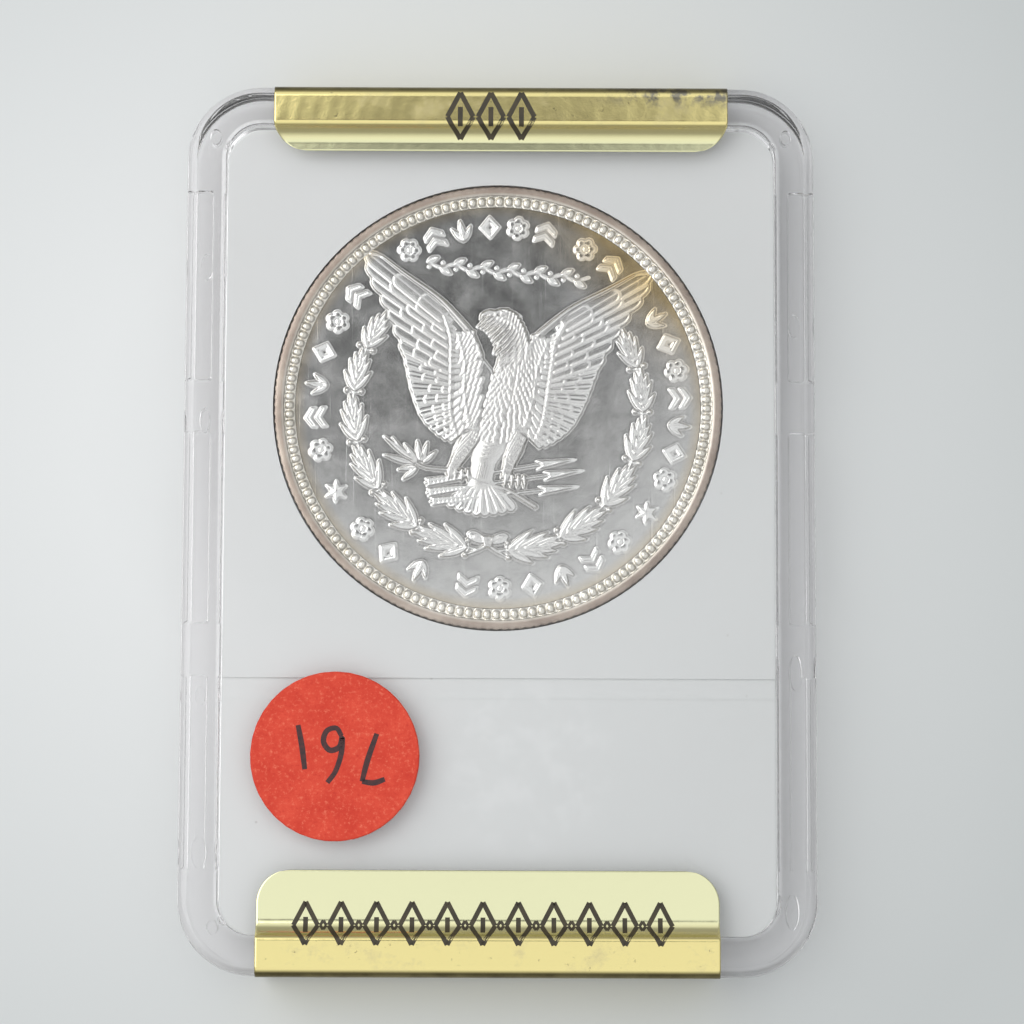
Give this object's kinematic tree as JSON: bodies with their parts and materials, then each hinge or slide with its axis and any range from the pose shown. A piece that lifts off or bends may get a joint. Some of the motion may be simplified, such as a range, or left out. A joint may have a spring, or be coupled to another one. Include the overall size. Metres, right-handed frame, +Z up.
{
  "type": "graded coin slab",
  "caption": "Flat clear case, welded shut around a large silver coin in a white insert, with foil end seals, a paper label and a round price sticker; the coin can turn in its pocket.",
  "frame": {"origin": "on the supporting surface, under the middle of the slab, which lies on its label side with its back up", "axes": "+Z up out of the back window, +Y towards the coin end, -Y towards the label end, +X across the slab to the right when its back is looked at with the coin end up"},
  "size_m": [0.0534, 0.0754, 0.008],
  "materials": {
    "clear_case": "gloss",
    "white_insert": "satin",
    "coin_silver": "polished",
    "label_paper": "matte",
    "gold_foil": "gloss",
    "sticker_paper": "matte"
  },
  "bodies": {
    "case": {"front_shell": "clear_case", "back_shell": "clear_case", "coin_insert": "white_insert", "label_card": "label_paper", "coin_end_seal": "gold_foil", "label_end_seal": "gold_foil", "price_sticker": "sticker_paper"},
    "coin": {"coin": "coin_silver"}
  },
  "joints": [
    {"name": "coin_spin", "type": "hinge", "parent": "case", "child": "coin", "pos_m": [-0.00015, 0.0104, 0.00402], "axis": [0, 0, 1], "continuous": true}
  ]
}
